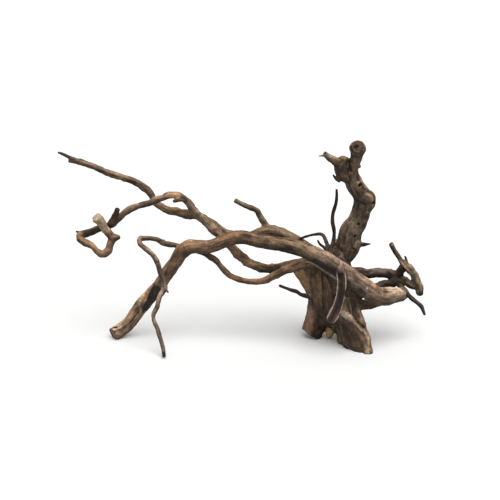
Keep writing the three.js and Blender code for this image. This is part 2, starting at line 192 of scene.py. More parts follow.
        (-132, 42, 167, 3), (-149, 48, 174, 2.6),
    ]),
    "paleRootlet": (domed, domed, [
        (-67, -2, 108, 1.7), (-58, -11, 113, 1.3), (-50, -15, 110, 1.3), (-39, -14, 102, 1.3),
        (-30, -14, 96, 1.3), (-23, -16, 92, 1.3),
    ]),
    "sparProng": (domed, domed, [(-38, 10, 241, 2), (-40, 9, 244, 1.4), (-40, 8, 246, 0.8)]),
}

# Colours along each root, from its first station to its last
rootTints = {
    "mainLimb": ["#b8a08a", "#8a7361", "#7c6753", "#675340", "#6a513c", "#84684f", "#b28d6c", "#937d66"],
    "farRoot": ["#6a5843", "#6f5c47", "#6a5642", "#6f5944", "#6c5541"],
    "farSplinter": ["#614c3b", "#3d3124"],
    "topTwig": ["#6a5d49", "#544534"],
    "curlRoot": ["#50402c", "#755d44", "#8f745a", "#7a6553", "#7a6450", "#705b42", "#8c6d50", "#88684f"],
    "curlKnob": ["#806048", "#5b4734"],
    "curlStub": ["#624a34", "#3f3125"],
    "curlTip": ["#2c231b", "#1a140f"],
    "archStub": ["#64503a", "#4d3b28"],
    "thinRoot": ["#625040", "#856a4e", "#604d3b", "#50412e", "#826c58", "#7e6958", "#5a4c3f"],
    "thinSpur": ["#6a5644", "#33271e"],
    "spar": ["#5e4d40", "#665240", "#6f5f4e", "#7b6957", "#7d664f", "#7b6652"],
    "sparKnot": ["#806c58", "#927860"],
    "sparFork": ["#67523f", "#655240"],
    "sparSpike": ["#776252", "#806d58"],
    "sparFibre": ["#b8ab9a", "#d9d2c6"],
    "sparHook": ["#40352c", "#221b15"],
    "sparThorn": ["#54463a", "#3a3029"],
    "stumpCore": ["#56463b", "#806856"],
    "stumpLeft": ["#5c4b3b", "#8e7259", "#704e39", "#856048"],
    "stumpFlare": ["#b08862", "#9a7856"],
    "stumpBack": ["#8e765e", "#82674f", "#715639"],
    "stumpRight": ["#6a5340", "#88704f", "#66523d"],
    "stumpFront": ["#5f4d3c", "#78614c", "#5e4937", "#8e7056"],
    "stumpHeel": ["#755f45", "#a0876e", "#665846"],
    "stumpPeg": ["#6c5340", "#e8b880"],
    "finger": ["#786554", "#5a4943", "#604e42"],
    "darkUpper": ["#40322a", "#4c3e35", "#624b38"],
    "darkLower": ["#3c2e22", "#2e251e"],
    "underRoot": ["#624c3f", "#6e4e3b"],
    "hookLimb": ["#7a6553", "#695445", "#866f5a", "#a28e74", "#70563f"],
    "hookSpike": ["#5a4839", "#33291f"],
    "hookBridge": ["#5f503e", "#5d4839"],
    "bridgeKnob": ["#544437", "#665344"],
    "darkTwig": ["#40342a", "#302822"],
    "twigTall": ["#3e3228", "#28201a"],
    "twigBent": ["#3e3228", "#28201a"],
    "twigShort": ["#3e3228", "#28201a"],
    "leftTwig": ["#30261e", "#382d25", "#382d25"],
    "webFlare": ["#8e7053", "#7c5f45", "#7a6142"],
    "webMid": ["#8a725c", "#785a44", "#74604b"],
    "webFoot": ["#5f4e3f", "#7c5a41"],
    "webFront": ["#8e745c", "#90775a"],
    "paleRootlet": ["#8a7462", "#a08c7c"],
    "sparProng": ["#5e4d3e", "#40352b"],
}

# Colour of the end grain where a root was sawn or broken off
endTints = {
    "curlRoot": "#dcc8b0", "spar": "#69533f", "mainLimb": "#8a6f56", "farRoot": "#6b5644",
    "thinRoot": "#7a6a58", "topTwig": "#8a7460", "hookLimb": "#8a7460", "curlStub": "#4a3a2d",
}

# Slanted saw cuts: a point on the cut in mm, and the side that is kept
sawCuts = {"stumpLeft": ((-66.2, 30.3, 10.8), (0.58, 0.25, 0.775))}

growth = {
    "bevelSteps": 5,                     # roundness of a raw root
    "curveSteps": 8,                     # rings between two stations
    "domeTurns": (0.4, 0.7, 0.9, 0.99),  # stations of a rounded end, in quarter turns
    "sampleGap": 1.2,                    # mm between samples of a centre line
    "sampleLeast": 0.1,                  # mm, least distance that counts between two samples
    "batch": 16,                         # samples that are searched together
    "reach": 12,                         # mm from a root within which the skin may belong to it
    "frameStart": (0.31, 0.52, 0.79),    # a direction that no root starts along
    "bark": 0.3,                         # mm that the skin stands out from the routes
    "weld": 0.01,                        # mm between points that are merged
    "voxel": 0.8,                        # mm, size of the cells that fuse the roots
    "filletRounds": 110,                 # how far the crotches between roots fill up
    "filletRenew": 10,                   # rounds between two readings of the normals
    "filletPull": (0.3, 0.65),           # share of the way in one round, and what the stump adds
    "frontRounds": 60,                   # smoothing of the stump's front
    "evenRounds": 6,                     # light smoothing of the fused skin
    "inwards": 0.5, "outwards": 0.52,    # share of the way in one round of smoothing
    "tintBlend": 1.0,                    # mm over which the colours of two roots mix
    "sole": (0.9, -0.5),                 # mm above the floor and slope that keep a foot's sole flat
    "triangles": 190000,                 # most triangles of the finished wood
}

# Where the stump is, in mm: a share is 0 at the first number and 1 at the second
stump = {
    "middle": (-25, 15),                 # x and y
    "skirt": (62, 48),                   # distance from the middle
    "top": (104, 84),                    # height
    "front": [("x", -54, -46), ("x", -4, -12), ("z", 22, 34), ("z", 91, 82),
              ("y", -18, -14), ("y", 26, 16)],
}

def smoothStep(low, high, value):
    t = np.clip((value - low) / (high - low), 0, 1)
    return t * t * (3 - 2 * t)

def ramp(rule, value):                   # rule: full strength, where it starts and where it is full
    strength, low, high = rule
    return strength * smoothStep(low, high, value)

def rowDots(first, second):              # dot product of each pair of rows
    return np.einsum("ij,ij->i", first, second)

def inBox(points, corners, reach):
    return np.all((points > corners.min(axis=0) - reach) & (points < corners.max(axis=0) + reach), axis=1)

def linearColour(code):                  # "#rrggbb" to linear light, by the usual screen curve
    parts = np.array([int(code[i:i + 2], 16) / 255 for i in (1, 3, 5)])
    return np.where(parts <= 0.04045, parts / 12.92, ((parts + 0.055) / 1.055) ** 2.4)

# Large odd numbers that turn a cell's place into a random value
scramble = {"x": 73856093, "y": 19349663, "z": 83492791, "seed": 97531,
            "first": 1274126177, "second": 668265263, "mask": 0x7FFFFFFF}

def latticeNoise(points, seed):          # smooth random value from -1 to 1
    cell = np.floor(points).astype(np.int64)
    part = points - cell
    part = part * part * (3 - 2 * part)
    total = np.zeros(len(points))
    for corner in np.ndindex(2, 2, 2):
        x, y, z = (cell + corner).T
        mixed = (x * scramble["x"]) ^ (y * scramble["y"]) ^ (z * scramble["z"]) ^ (seed * scramble["seed"])
        mixed = ((mixed ^ (mixed >> 13)) * scramble["first"]) & scramble["mask"]
        mixed = ((mixed ^ (mixed >> 15)) * scramble["second"]) & scramble["mask"]
        weight = np.prod(np.where(corner, part, 1 - part), axis=1)
        total += weight * ((mixed >> 7 & 0xFFFF) / 32767.5 - 1)
    return total

def domeStations(end, before, bulge):    # small extra stations that round off an end
    way = (end[:3] - before[:3]) / np.linalg.norm(end[:3] - before[:3])
    dome = []
    for share in growth["domeTurns"]:
        turn = share * math.pi / 2
        place = end[:3] + way * end[3] * bulge * math.sin(turn)
        dome.append(np.append(place, end[3] * math.cos(turn)))
    return dome

def finishedRoute(firstEnd, lastEnd, route):
    stations = [np.array(station, float) for station in route]
    head = domeStations(stations[0], stations[1], firstEnd)[::-1] if firstEnd else []
    tail = domeStations(stations[-1], stations[-2], lastEnd) if lastEnd else []
    return head + stations + tail

def centreLine(name, spline):            # samples along a root, with a frame that doesn't spin
    points, radii = [], []
    stations = list(spline.bezier_points)
    for start, end in zip(stations, stations[1:]):
        reach = (end.co - start.co).length
        steps = max(1, math.ceil(reach / (growth["sampleGap"] * mm)))
        for step in range(steps):
            t = step / steps
            s = 1 - t
            points.append(s**3 * start.co + 3 * s * s * t * start.handle_right
                          + 3 * s * t * t * end.handle_left + t**3 * end.co)
            radii.append(s * start.radius + t * end.radius)
    points.append(stations[-1].co)
    radii.append(stations[-1].radius)
    points = np.array(points, float)
    tangents = np.gradient(points, axis=0)
    tangents /= np.linalg.norm(tangents, axis=1)[:, None]
    side = np.cross(tangents[0], growth["frameStart"])
    sides = []
    for tangent in tangents:
        side = side - tangent * side.dot(tangent)
        side = side / np.linalg.norm(side)
        sides.append(side)
    sides = np.array(sides)
    steps = np.linalg.norm(np.diff(points, axis=0), axis=1)
    return {"name": name, "points": points, "radii": np.array(radii),
            "tangents": tangents, "sides": sides, "uppers": np.cross(tangents, sides),
            "along": np.concatenate([[0], np.cumsum(steps)])}

def sawOff(place, keptSide):             # a flat cut through the active root, closed again
    bpy.ops.object.mode_set(mode="EDIT")
    bpy.ops.mesh.select_all(action="SELECT")
    bpy.ops.mesh.bisect(plane_co=np.array(place) * mm, plane_no=keptSide, use_fill=True,
                        clear_inner=True)
    bpy.ops.object.mode_set(mode="OBJECT")

def growRoot(name):                      # one root as a bevelled curve, made a mesh
    firstEnd, lastEnd, route = rootRoutes[name]
    stations = finishedRoute(firstEnd, lastEnd, route)
    bpy.ops.object.select_all(action="DESELECT")
    bpy.ops.curve.primitive_bezier_curve_add(location=(0, 0, 0))
    root = bpy.context.object
    root.name = name
    root.data.dimensions = "3D"
    root.data.resolution_u = growth["curveSteps"]
    root.data.bevel_resolution = growth["bevelSteps"]
    root.data.bevel_depth = 1            # so that a station's radius is the root's own
    root.data.use_fill_caps = True
    spline = root.data.splines[0]
    spline.bezier_points.add(len(stations) - 2)
    for point, station in zip(spline.bezier_points, stations):
        point.co = station[:3] * mm
        point.radius = (station[3] + growth["bark"]) * mm
    bpy.ops.object.mode_set(mode="EDIT")
    bpy.ops.curve.select_all(action="SELECT")
    bpy.ops.curve.handle_type_set(type="AUTOMATIC")
    bpy.ops.object.mode_set(mode="OBJECT")
    line = centreLine(name, root.data.splines[0])
    bpy.ops.object.convert(target="MESH")
    bpy.ops.object.mode_set(mode="EDIT")
    bpy.ops.mesh.select_all(action="SELECT")
    bpy.ops.mesh.remove_doubles(threshold=growth["weld"] * mm)
    bpy.ops.object.mode_set(mode="OBJECT")
    if min(station[2] - station[3] for station in stations) < 0:    # a foot stands level on the floor
        sawOff((0, 0, 0), (0, 0, 1))
    if name in sawCuts:
        sawOff(*sawCuts[name])
    return bpy.context.object, line

def applyModifier(piece, kind, **settings):
    bpy.context.view_layer.objects.active = piece
    modifier = piece.modifiers.new(kind.title(), kind)
    for key, value in settings.items():
        setattr(modifier, key, value)
    bpy.ops.object.modifier_apply(modifier=modifier.name)

def readPoints(mesh):
    flat = np.empty(len(mesh.vertices) * 3)
    mesh.vertices.foreach_get("co", flat)
    return flat.reshape(-1, 3)

def writePoints(mesh, points):
    mesh.vertices.foreach_set("co", points.ravel())
    mesh.update()

def readNormals(mesh):
    flat = np.empty(len(mesh.vertices) * 3)
    mesh.vertex_normals.foreach_get("vector", flat)
    return flat.reshape(-1, 3)

def neighbourMean(mesh):                 # a function that averages any value over a point's neighbours
    pairs = np.empty(len(mesh.edges) * 2, int)
    mesh.edges.foreach_get("vertices", pairs)
    first, second = pairs[0::2], pairs[1::2]
    count = len(mesh.vertices)
    shares = np.bincount(first, minlength=count) + np.bincount(second, minlength=count)
    shares = np.maximum(shares, 1)
    def mean(values):
        columns = []
        for column in np.atleast_2d(values.T):
            total = np.bincount(first, column[second], count) + np.bincount(second, column[first], count)
            columns.append(total / shares)
        return np.array(columns).T if values.ndim > 1 else columns[0]
    return mean

def stumpShare(points):                  # 1 on the lower stump, 0 away from it
    spread = np.hypot(*(points[:, axis] - stump["middle"][axis] * mm for axis in (0, 1)))
    outside, inside = stump["skirt"]
    above, below = stump["top"]
    return smoothStep(outside * mm, inside * mm, spread) * smoothStep(above * mm, below * mm, points[:, 2])

def frontShare(points):                  # 1 on the worn front of the stump, 0 elsewhere
    share = np.ones(len(points))
    for axis, low, high in stump["front"]:
        share *= smoothStep(low, high, points[:, "xyz".index(axis)] / mm)
    return share

def fillCrotches(mesh, rounds):          # only hollow creases move, and only outwards
    mean = neighbourMean(mesh)
    points = readPoints(mesh)
    everywhere, onStump = growth["filletPull"]
    for turn in range(rounds):
        if turn % growth["filletRenew"] == 0:
            writePoints(mesh, points)
            normals = readNormals(mesh)
        lift = np.maximum(0, rowDots(mean(points) - points, normals))
        points += normals * (lift * (everywhere + onStump * stumpShare(points)))[:, None]
    writePoints(mesh, points)

def calmFront(mesh, rounds):             # the stump's front loses the seams between its roots
    mean = neighbourMean(mesh)
    points = readPoints(mesh)
    calm = growth["inwards"] * frontShare(points)
    for turn in range(rounds):
        points += calm[:, None] * (mean(points) - points)
    writePoints(mesh, points)

def evenOut(mesh, rounds):               # smooths without shrinking
    mean = neighbourMean(mesh)
    points = readPoints(mesh)
    for turn in range(rounds):
        points += growth["inwards"] * (mean(points) - points)
        points -= growth["outwards"] * (mean(points) - points)
    writePoints(mesh, points)

def nearestSample(points, line):         # points near a root, with the closest sample of its centre line
    margin = growth["reach"] * mm
    near = np.flatnonzero(inBox(points, line["points"], line["radii"].max() + margin))
    best = np.full(near.size, far)
    pick = np.zeros(near.size, int)
    for start in range(0, len(line["points"]), growth["batch"]):
        centre = line["points"][start:start + growth["batch"]]
        radii = line["radii"][start:start + growth["batch"]]
        inside = np.flatnonzero(inBox(points[near], centre, radii.max() + margin))
        if inside.size == 0:
            continue
        offset = points[near[inside]][:, None, :] - centre[None, :, :]
        gaps = np.sqrt(np.einsum("ijk,ijk->ij", offset, offset)) - radii[None, :]
        closest = gaps.argmin(axis=1)
        gap = gaps[np.arange(inside.size), closest]
        wins = gap < best[inside]
        best[inside[wins]] = gap[wins]
        pick[inside[wins]] = closest[wins] + start
    kept = best < far
    return near[kept], pick[kept]

def readRoots(points, lines):            # which root each point of the skin lies on, and where
    count = len(points)
    found = {"owner": np.zeros(count, int), "gap": np.full(count, far), "rival": np.full(count, far),
             "along": np.zeros(count), "angle": np.zeros(count), "radius": np.ones(count),
             "tangent": np.zeros((count, 3)), "tint": np.zeros((count, 3))}
    share = np.zeros(count)
    for number, line in enumerate(lines):
        some, pick = nearestSample(points, line)
        spot = points[some]
        ahead = rowDots(spot - line["points"][pick], line["tangents"][pick])
        low = np.clip(np.where(ahead < 0, pick - 1, pick), 0, len(line["points"]) - 2)
        before = rowDots(spot - line["points"][low], line["tangents"][low])
        after = rowDots(spot - line["points"][low + 1], line["tangents"][low + 1])
        part = np.clip(before / np.maximum(before - after, growth["sampleLeast"] * mm), 0, 1)
        def between(key):                # a value of the centre line beside each point
            values = line[key]
            blend = part if values.ndim == 1 else part[:, None]
            return values[low] * (1 - blend) + values[low + 1] * blend
        along = between("along") + np.minimum(before, 0) + np.maximum(after, 0)
        away = spot - between("points")
        radius = between("radii")
        gap = np.linalg.norm(away, axis=1) - radius
        stops = np.array([linearColour(code) for code in rootTints[line["name"]]])
        place = np.clip(along / line["along"][-1], 0, 1) * (len(stops) - 1)
        tint = np.stack([np.interp(place, np.arange(len(stops)), stops[:, k]) for k in range(3)], axis=1)
        weight = np.exp(-np.maximum(gap, 0) / (growth["tintBlend"] * mm)) + tiny
        found["tint"][some] += tint * weight[:, None]
        share[some] += weight
        wins = gap < found["gap"][some]
        found["rival"][some] = np.where(wins, found["gap"][some], np.minimum(found["rival"][some], gap))
        won = some[wins]
        tangent = between("tangents")
        outward = away - tangent * rowDots(away, tangent)[:, None]
        outward /= np.maximum(np.linalg.norm(outward, axis=1), tiny)[:, None]
        angle = np.arctan2(rowDots(outward, between("uppers")), rowDots(outward, between("sides")))
        found["gap"][won] = gap[wins]
        found["owner"][won] = number
        found["along"][won] = along[wins] / mm
        found["tangent"][won] = tangent[wins]
        found["radius"][won] = radius[wins] / mm
        found["angle"][won] = angle[wins]
    found["tint"] /= np.maximum(share, tiny)[:, None]
    return found

# Named marks: from, to and reach in mm, edge, relief in mm, colour and strength of the colour
crisp, soft = 0.72, 0.3                  # share of a mark's reach that has its full strength
woodMarks = {
    # painted shade inside the carved hole
    "kneeHoleShade": ((18.6, 12.0, 181.5), (19.0, 14.0, 180.5), 3.3, crisp, -2.4, "#120c08", 0.95),
    "knotRim": ((2.2, 9.4, 204.5), (2.2, 9.4, 204.5), 5.2, crisp, 0.8, "#6a5442", 0.4),
    # painted shade inside the carved knot hole
    "knotHoleShade": ((2.2, 9.4, 204.5), (2.2, 9.4, 204.5), 3.0, crisp, -2.7, "#1a0f09", 0.95),
    # painted shade inside the carved pit
    "sparPitShade": ((-2.0, 9.6, 139.2), (-2.0, 9.6, 139.2), 2.6, crisp, -2.0, "#150e09", 0.9),
    # painted shade inside the carved dimple
    "sparDimpleShade": ((1.9, 12.1, 154.0), (1.9, 12.1, 154.0), 2.2, crisp, -1.1, "#1a120c", 0.8),
    "sparBulge": ((2.0, 9.0, 127.6), (2.0, 9.0, 127.6), 7.0, crisp, 1.5, "#6a5644", 0.3),
    # painted shade in the carved split
    "sparSplitShade": ((4.7, 14.0, 134.0), (-4.4, 5.2, 124.0), 1.3, crisp, -1.3, "#150f0a", 0.85),
    "sparNub": ((3.3, 9.7, 226.4), (3.3, 9.7, 226.4), 2.6, crisp, 1.6, "#5c4a3a", 0.3),
    # painted shade in the carved seam
    "sparSeamShade": ((-11.2, 8.2, 235.8), (-8.8, 5.2, 222.0), 1.7, crisp, -1.4, "#150f0a", 0.9),
    "crownRim": ((-9.8, -3.9, 254.5), (-8.0, -5.0, 248.5), 1.9, crisp, -0.8, "#17100b", 0.85),
    # painted shade inside the carved hole in the crown
    "crownHoleShade": ((-5.2, -5.2, 254.8), (-3.4, -5.6, 256.2), 2.6, crisp, -1.6, "#1a110b", 0.9),
    "crownPith": ((1.6, -7.2, 250.0), (3.4, -6.4, 253.6), 1.4, crisp, -0.6, "#2a1d14", 0.75),
    "sparLumpHigh": ((12.5, 13.0, 167.0), (12.5, 13.0, 167.0), 4.0, crisp, 1.0, "#5a4838", 0.2),
    "sparLumpMid": ((9.8, 15.5, 155.5), (9.8, 15.5, 155.5), 3.6, crisp, 1.0, "#5a4838", 0.2),
    "sparLumpLow": ((6.2, 14.0, 144.5), (6.2, 14.0, 144.5), 3.6, crisp, 0.9, "#5a4838", 0.2),
    "charcoalTop": ((-246.0, 15.0, 68.0), (-252.0, 16.3, 56.0), 7.2, crisp, -0.6, "#2f282b", 0.95),
    "charcoalLow": ((-252.0, 17.0, 54.0), (-258.0, 18.5, 42.0), 7.0, crisp, -0.7, "#2f282b", 0.95),
    "charcoalTail": ((-259.0, 18.0, 42.0), (-262.6, 19.2, 36.0), 3.0, crisp, -0.5, "#2b2527", 0.9),
    "charcoalEdge": ((-267.0, 18.5, 51.5), (-266.0, 19.5, 35.0), 2.2, crisp, 0.4, "#c3aa8a", 0.5),
    # painted shade inside the carved hollow
    "endHollowShade": ((-297.9, 23.5, 15.5), (-300.5, 24.5, 14.8), 2.0, crisp, -0.9, "#120c08", 0.9),
    # painted shade inside the carved hole
    "endHoleShade": ((-298.7, 17.6, 11.0), (-298.7, 17.6, 11.0), 1.5, crisp, -1.0, "#1a110a", 0.85),
    "endRim": ((-305.7, 26.6, 12.5), (-303.6, 26.6, 2.7), 2.4, crisp, -0.3, "#2c2119", 0.75),
    # painted shade under the main limb
    "limbUnderShade": ((-98.0, -13.0, 127.0), (-62.0, -22.0, 119.5), 9.0, soft, 0, "#17110c", 0.8),
    "curlShade": ((-300.0, 23.0, 149.0), (-333.0, 27.0, 138.0), 8.5, soft, 0, "#211d18", 0.85),
    "stubPale": ((-315.5, 1.0, 166.0), (-306.5, 8.0, 151.0), 9.5, soft, 0, "#c4ad90", 0.8),
    "stubSide": ((-307.5, 13.0, 160.0), (-303.0, 15.0, 150.0), 3.4, crisp, 0, "#6b5848", 0.6),
    "crossShade": ((-259.0, 16.0, 177.0), (-243.0, 15.0, 181.0), 8.0, soft, 0, "#33271f", 0.8),
    "dipShade": ((-115.0, 14.0, 94.0), (-95.0, 14.0, 98.0), 7.0, soft, 0, "#24201a", 0.7),
    "thinGlow": ((-154.3, 8.5, 86.5), (-111.9, 6.0, 83.0), 4.0, soft, 0, "#b0805f", 0.5),
    "thinTip": ((-234.0, -44.0, 2.0), (-234.6, -41.0, 6.0), 3.6, crisp, 0, "#15100c", 0.9),
    "limbFleck": ((10.9, -29.0, 85.7), (10.9, -29.0, 85.7), 1.6, crisp, 0.3, "#d8bfa4", 0.7),
    # painted highlight along the main limb's top
    "limbTopHighlight": ((-36.0, -21.5, 126.5), (-14.0, -23.6, 114.5), 3.4, soft, 0, "#c4a78c", 0.6),
    "limbShade": ((-52.0, -25.0, 117.5), (-25.0, -32.0, 105.0), 9.5, soft, -0.4, "#17100b", 0.9),
    "flareGold": ((-66.0, 10.0, 91.0), (-55.0, 9.0, 66.0), 8.0, soft, 0, "#b39370", 0.65),
    # the lobe's reddish tone, lightened as a painted highlight on the foot
    "lobeRedAndHighlight": ((-57.0, 16.5, 40.0), (-59.0, 20.0, 12.0), 10.0, soft, 0, "#b5927a", 0.65),
    # painted shade along the foot's bottom edge
    "footEdgeShade": ((-66.5, 30.5, 11.0), (-42.0, 14.5, -1.5), 1.9, crisp, 0, "#130e0a", 0.85),
    # painted highlight on the raised top of the lobe's ridge
    "lobeRidgeHighlight": ((-16.0, -18.0, 49.0), (-8.2, -19.5, 44.5), 4.6, crisp, 0.8, "#c9b29c", 0.85),
    "lobeRidge": ((-8.2, -19.5, 44.5), (12.7, -17.2, 23.0), 2.6, crisp, 0.7, "#b39a84", 0.8),
    "pegPale": ((-30.2, 16.5, 14.0), (-31.0, 17.0, 5.0), 5.5, crisp, 0, "#e0b67c", 0.8),
    # painted shade in the carved crease
    "lobeCreaseShade": ((-4.0, -15.5, 47.5), (10.0, -12.0, 28.5), 1.8, crisp, -1.5, "#140e0a", 0.85),
    "lobeFace": ((-6.0, -16.5, 30.0), (4.0, -21.0, 9.0), 12.0, soft, 0, "#4a382b", 0.55),
    "lobeSpecks": ((11.5, -23.5, 9.6), (14.0, -25.0, 4.0), 3.6, soft, 0, "#9a7e60", 0.5),
    # painted shade along the lobe's bottom edge
    "lobeEdgeShade": ((-14.0, -6.0, 2.0), (17.2, -27.0, 0.8), 2.4, crisp, 0, "#130d09", 0.85),
    "hookSplit": ((53.5, 13.6, 107.0), (64.8, 17.4, 93.0), 1.35, crisp, 0.2, "#d9c2ac", 0.85),
    # painted highlight on the hook's lit side
    "hookLitHighlight": ((74.0, 17.0, 90.0), (83.0, 15.5, 68.0), 3.4, soft, 0, "#a5896f", 0.5),
    "hookShade": ((39.5, 9.0, 128.0), (53.0, 15.5, 101.0), 2.7, crisp, 0, "#1d140e", 0.9),
    "hookTip": ((42.0, 9.5, 131.0), (41.0, 10.0, 133.0), 3.0, crisp, -0.3, "#1d140d", 0.85),
    "hookNose": ((84.4, 18.5, 64.8), (80.0, 15.4, 60.0), 2.2, crisp, -0.5, "#241912", 0.8),
    "wornPatch": ((-229.0, 11.0, 191.8), (-218.0, 10.5, 191.0), 4.6, crisp, -0.3, "#d3a578", 0.85),
    "twigKnot": ((-129.3, 38.6, 167.6), (-129.3, 38.6, 167.6), 3.2, crisp, 0.9, "#4a3b2e", 0.5),
    "thinKnot": ((-236.4, 11.9, 130.2), (-236.4, 14.0, 130.0), 3.4, crisp, 0.9, "#8a735a", 0.4),
    "thinBand": ((-244.3, -5.6, 111.2), (-241.0, -4.5, 111.5), 1.3, crisp, -0.3, "#2c221b", 0.8),
    "thinPale": ((-239.5, -6.2, 71.7), (-245.1, -8.4, 60.1), 3.0, crisp, 0, "#ab967f", 0.55),
}

markEdge = {
    "wave": 0.25, "waveSize": 2.2,       # ragged outline: share of the reach, size in mm
    "search": 1.3,                       # box that is searched, in reaches
    "light": (0.4, 1.6),                 # least and most shade of the wood that a mark takes on
}

grain = {
    "apart": 211.0,                      # mm along the grain that set one root's pattern off from the next
    "flute": (0.10, 1.25, 46),           # depth in radii, turns round the root, length in mm
    "fluteMost": 12,                     # mm, thicker roots have no deeper flutes
    "backRibs": (1.6, 24 * mm, 44 * mm),     # deeper flutes on the stump's back
    "stout": (9, 14),                    # mm, from here on a root is stout
    "fibre": (0.45, 3.0, 17),            # depth, width and length in mm
    "fibreRidge": (0.75, 2, 0.03),       # height, slope and roundness of a fibre's crest
    "strand": (0.15, 1.9, 12),           # finer fibres: depth, width and length in mm
    "fibreSlim": (5, 0.2, 0.35),         # mm below which they weaken, least share, loss on stout roots
    "knuckle": (0.20, 8.5),              # depth in radii, size in mm
    "knuckleFine": (0.6, 0.45),          # depth and size of the smaller ones, as shares
    "knuckleMost": 5.5,                  # mm, thicker roots have no deeper knuckles
    "knuckleLoss": (0.5, 6, 8.5),        # share lost on thick roots, from and to mm
    "crack": (0.55, 0.22, 11, 60),       # depth in mm, share of the skin, spacing and length in mm
    "crackPatch": (0.9, 70, 0.05, 0.35),     # turns, length in mm, where cracks start and are full
    "crackRoot": (5, 8),                 # mm, thinner roots have no cracks
    "joinCalm": (0.35, 2.5),             # share of the fibres left where two roots meet, mm around it
}

# Each pattern's own random start
seeds = {"flute": 3, "fibre": 5, "strand": 7, "knuckle": 11, "knuckleFine": 12,
         "crack": 13, "crackPatch": 14, "blotch": 17, "mottle": 19, "fleck": 21, "warmth": 23,
         "markEdge": 31, "ring": 37}

def grainSpace(found):                   # mm across the grain, across the grain, and along it
    sideways = np.cos(found["angle"]) * found["radius"]
    upwards = np.sin(found["angle"]) * found["radius"]
    return np.stack([sideways, upwards, found["along"] + grain["apart"] * found["owner"]], axis=1)

def grainHeights(points, found):         # relief in mm, outwards positive
    space = grainSpace(found)
    unit = np.stack([np.cos(found["angle"]), np.sin(found["angle"]), space[:, 2]], axis=1)
    radius = found["radius"]
    stout = smoothStep(*grain["stout"], radius)
    depth, turns, length = grain["flute"]
    flutes = latticeNoise(unit * (turns, turns, 1 / length), seeds["flute"])
    flutes = flutes * depth * np.minimum(radius, grain["fluteMost"])
    ribs, ribStart, ribFull = grain["backRibs"]
    flutes *= 1 + ribs * stout * smoothStep(ribStart, ribFull, points[:, 1])
    depth, width, length = grain["fibre"]
    crest, slope, roundness = grain["fibreRidge"]
    fibres = latticeNoise(space / (width, width, length), seeds["fibre"])
    fibres = (crest - slope * np.sqrt(fibres**2 + roundness)) * depth
    depth, width, length = grain["strand"]
    strands = latticeNoise(space / (width, width, length), seeds["strand"]) * depth
    depth, size = grain["knuckle"]
    fineDepth, fineSize = grain["knuckleFine"]
    knuckles = latticeNoise(points / (size * mm), seeds["knuckle"])
    knuckles = knuckles + fineDepth * latticeNoise(points / (fineSize * size * mm), seeds["knuckleFine"])
    knuckles *= depth * np.minimum(radius, grain["knuckleMost"]) * (1 - ramp(grain["knuckleLoss"], radius))
    depth, share, width, length = grain["crack"]
    turns, patchLength, rareFrom, rareTo = grain["crackPatch"]
    seam = np.abs(latticeNoise(space / (width, width, length), seeds["crack"]))
    patch = latticeNoise(unit * (turns, turns, 1 / patchLength), seeds["crackPatch"])
    cracks = -depth * smoothStep(share, 0, seam) * smoothStep(*grain["crackRoot"], radius)
    cracks = cracks * smoothStep(rareFrom, rareTo, patch)
    cracks *= 1 - frontShare(points)     # none on the stump's worn front
    slimFrom, slimLeast, stoutLoss = grain["fibreSlim"]
    slim = np.clip(radius / slimFrom, slimLeast, 1) * (1 - stoutLoss * stout)
    left, around = grain["joinCalm"]
    calm = smoothStep(0, around * mm, found["rival"] - found["gap"])     # quiet where two roots meet
    return flutes, (fibres + strands) * slim * (left + (1 - left) * calm), knuckles, cracks * calm

def markWeights(points, start, end, reach, edge):     # the points that a mark reaches, and how strongly
    ends, reach = np.array((start, end)) * mm, reach * mm
    near = np.flatnonzero(inBox(points, ends, markEdge["search"] * reach))
    spot, way = points[near], ends[1] - ends[0]
    t = np.clip((spot - ends[0]) @ way / max(way @ way, tiny), 0, 1)
    distance = np.linalg.norm(spot - ends[0] - t[:, None] * way, axis=1)
    ragged = 1 + markEdge["wave"] * latticeNoise(spot / (markEdge["waveSize"] * mm), seeds["markEdge"])
    return near, smoothStep(1, edge, distance / (reach * ragged))

# The hanging root's hollow front; sizes across it are in radii of the root
trough = {
    "root": "finger",
    "box": 1,                            # mm around the root that are searched
    "facing": 0.1,                       # most that a point of the front may face backwards
    "frontReach": 1.4,                   # from the root's middle to its front
    "opens": (7 * mm, 15 * mm),          # along the root: closed before, open after
    "edge": (0.92, 0.76),                # outside and inside the hollow
    "rimInner": (0.76, 0.88), "rimOuter": (1.14, 1.0),     # the pale rim's two sides
    "wall": (0.2, 0.4),                  # wood left in front of the middle, and what the sides add
    "smoothed": 0.7,                     # share of the relief that it loses
    "shade": 0.25, "rimTint": "#bfa996", "rimStrength": 0.75,
}

# Points of the hanging root's front, how far each is in the hollow and on its rim, and where the hollow lies
def hollowFront(points, normals, lines):
    line = next(line for line in lines if line["name"] == trough["root"])
    around = inBox(points, line["points"], line["radii"].max() + trough["box"] * mm)
    near = np.flatnonzero(around & (normals[:, 1] < trough["facing"]))
    flat = points[near][:, None, ::2] - line["points"][None, :, ::2]
    shares = np.linalg.norm(flat, axis=2) / line["radii"][None, :]
    pick = shares.argmin(axis=1)
    share = shares[np.arange(near.size), pick]
    middle, radius = line["points"][pick, 1], line["radii"][pick]
    front = np.abs(points[near, 1] - middle) < trough["frontReach"] * radius
    ahead = smoothStep(*trough["opens"], line["along"][pick]) * front
    wall, sides = trough["wall"]
    depth = middle - radius * (wall + sides * share**2)
    inside = ahead * smoothStep(*trough["edge"], share)
    rim = ahead * smoothStep(*trough["rimInner"], share) * smoothStep(*trough["rimOuter"], share)
    return near, inside, rim, depth

